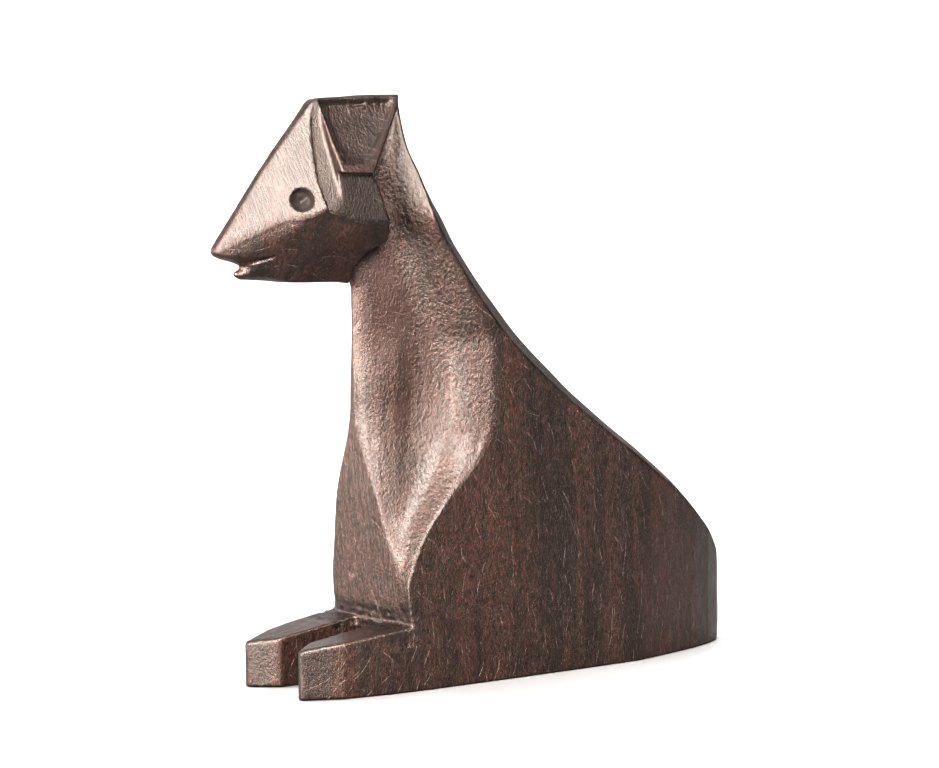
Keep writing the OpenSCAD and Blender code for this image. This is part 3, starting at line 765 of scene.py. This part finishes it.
    b = g.node("ShaderNodeBsdfPrincipled")
    g.put(b.inputs["Base Color"], c)
    rough = g.math("MINIMUM", g.math("MAXIMUM", rough, 0.22), 0.85)
    g.put(b.inputs["Roughness"], rough)
    g.put(b.inputs["Normal"], bump.outputs[0])
    b.inputs["IOR"].default_value = 1.52
    b.inputs["Specular IOR Level"].default_value = specular
    b.inputs["Coat Weight"].default_value = 0.12 if specular > 0.3 else 0.0
    b.inputs["Coat Roughness"].default_value = 0.30
    b.inputs["Specular Tint"].default_value = (1.0, 0.86, 0.78, 1.0)
    out = g.node("ShaderNodeOutputMaterial")
    g.put(out.inputs["Surface"], b.outputs[0])
    return mat

me.materials.clear()
me.materials.append(wood("dark_wood_carved", 0.48))
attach(figure, "root")
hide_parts("carved_figure")

# ---------------------------------------------------------------- camera at the photograph's angle
right = Vector((0.6018, 0.7986, 0.0)).normalized()
back = Vector((0.7944, -0.5986, 0.1030)).normalized()
right = (right - back * right.dot(back)).normalized()
up = back.cross(right)
target = Vector((5.94, -5.34, 33.12)) * 0.001
cam_data = bpy.data.cameras.new("camera")
cam_data.sensor_fit = "HORIZONTAL"
cam_data.sensor_width = 36.0
cam_data.lens = 3740 / 939 * 36.0
cam_data.clip_start, cam_data.clip_end = 0.01, 20.0
cam_data.dof.use_dof = False
cam = bpy.data.objects.new("camera", cam_data)
bpy.context.scene.collection.objects.link(cam)
m = Matrix((right, up, back)).transposed().to_4x4()
m.translation = target + back * 0.414
cam.matrix_world = m
bpy.context.scene.camera = cam

# ---------------------------------------------------------------- floor, sweep and light
def sweep():
    """Pale floor that turns up into a backdrop behind the figure."""
    away = Vector((-back.x, -back.y, 0)).normalized()
    side = Vector((-away.y, away.x, 0))
    prof = [(-1.6, 0.0), (0.35, 0.0)]
    prof += [(0.35 + 0.45 * math.sin(a), 0.45 * (1 - math.cos(a))) for a in np.linspace(0.05, math.pi / 2, 24)]
    prof += [(0.80, 2.2)]
    verts, faces = [], []
    for d, h in prof:
        for s in (-2.2, 2.2):
            verts.append(tuple(away * d + side * s + Vector((0, 0, h - 0.00002))))
    for i in range(len(prof) - 1):
        faces.append((2 * i, 2 * i + 1, 2 * i + 3, 2 * i + 2))
    mesh = bpy.data.meshes.new("floor")
    mesh.from_pydata(verts, [], faces)
    mesh.polygons.foreach_set("use_smooth", [True] * len(faces))
    o = bpy.data.objects.new("floor", mesh)
    bpy.context.scene.collection.objects.link(o)
    mat = bpy.data.materials.new("floor_pale")
    mat.use_nodes = True
    bs = mat.node_tree.nodes["Principled BSDF"]
    bs.inputs["Base Color"].default_value = (0.80, 0.797, 0.79, 1)
    bs.inputs["Roughness"].default_value = 0.9
    bs.inputs["Specular IOR Level"].default_value = 0.1
    mesh.materials.append(mat)
    return o

floor = sweep()

# a dark flag behind and to the right, out of frame, keeps the sawn back from mirroring the bright backdrop
side_dir, away_dir = Vector((right.x, right.y, 0)).normalized(), Vector((-back.x, -back.y, 0)).normalized()
fm = bpy.data.meshes.new("dark_flag")
fm.from_pydata([tuple(away_dir * d_ + side_dir * s_ + Vector((0, 0, h_))) for d_, s_, h_ in
                ((0.26, 0.125, 0.03), (0.02, 0.62, 0.03), (0.02, 0.62, 0.55), (0.26, 0.125, 0.55))], [], [(0, 1, 2, 3)])
flag = bpy.data.objects.new("dark_flag", fm)
bpy.context.scene.collection.objects.link(flag)
fmat = bpy.data.materials.new("flag_dark")
fmat.use_nodes = True
fmat.node_tree.nodes["Principled BSDF"].inputs["Base Color"].default_value = (0.015, 0.014, 0.014, 1)
fmat.node_tree.nodes["Principled BSDF"].inputs["Roughness"].default_value = 1.0
fmat.node_tree.nodes["Principled BSDF"].inputs["Specular IOR Level"].default_value = 0.0
fm.materials.append(fmat)

def area(name, direction, dist, w, h, power, color=(1, 1, 1), aim=(0.0, -0.005, 0.03), spread=180):
    d = Vector(direction).normalized()
    li = bpy.data.lights.new(name, "AREA")
    li.shape = "RECTANGLE"
    li.size, li.size_y = w, h
    li.energy = power
    li.color = color
    li.spread = math.radians(spread)
    o = bpy.data.objects.new(name, li)
    bpy.context.scene.collection.objects.link(o)
    o.location = Vector(aim) + d * dist
    o.rotation_euler = (-d).to_track_quat("-Z", "Y").to_euler()
    return o

lamps = [area("key", (0.33, -0.94, 0.17), 0.75, 0.56, 0.36, 46.0, (1.0, 0.96, 0.93)),
         area("over_camera", (0.76, -0.30, 0.60), 0.80, 0.36, 0.36, 42.0, (1.0, 0.97, 0.95))]
# these soft lights model the figure; the floor and sweep have their own
lit = bpy.data.collections.new("lit_by_key")
lit.objects.link(figure)
for lamp in lamps:
    lamp.light_linking.receiver_collection = lit
area("front_left", (-0.80, -0.60, 0.20), 0.80, 0.45, 0.40, 5.0)
sky = area("floor_light", (0.0, 0.0, 1.0), 1.0, 1.2, 1.2, 14.0)
pale = bpy.data.collections.new("lit_by_floor_light")
pale.objects.link(floor)
sky.light_linking.receiver_collection = pale
wall = area("backdrop_light", (0.1, 0.1, 1.0), 1.3, 1.6, 0.5, 17.0)
away = Vector((-back.x, -back.y, 0)).normalized()
wall.location = away * 0.15 + Vector((0, 0, 1.25))
wall.rotation_euler = (away * 0.75 + Vector((0, 0, -0.75))).to_track_quat("-Z", "Y").to_euler()

world = bpy.data.worlds.new("studio")
bpy.context.scene.world = world
world.use_nodes = True
bg = world.node_tree.nodes["Background"]
bg.inputs[0].default_value = (1, 1, 1, 1)
bg.inputs[1].default_value = 0.16
bpy.context.scene.view_settings.view_transform = "Standard"
bpy.context.scene.view_settings.look = "None"
bpy.context.scene.view_settings.exposure = 0.0
bpy.context.scene.view_settings.gamma = 0.72
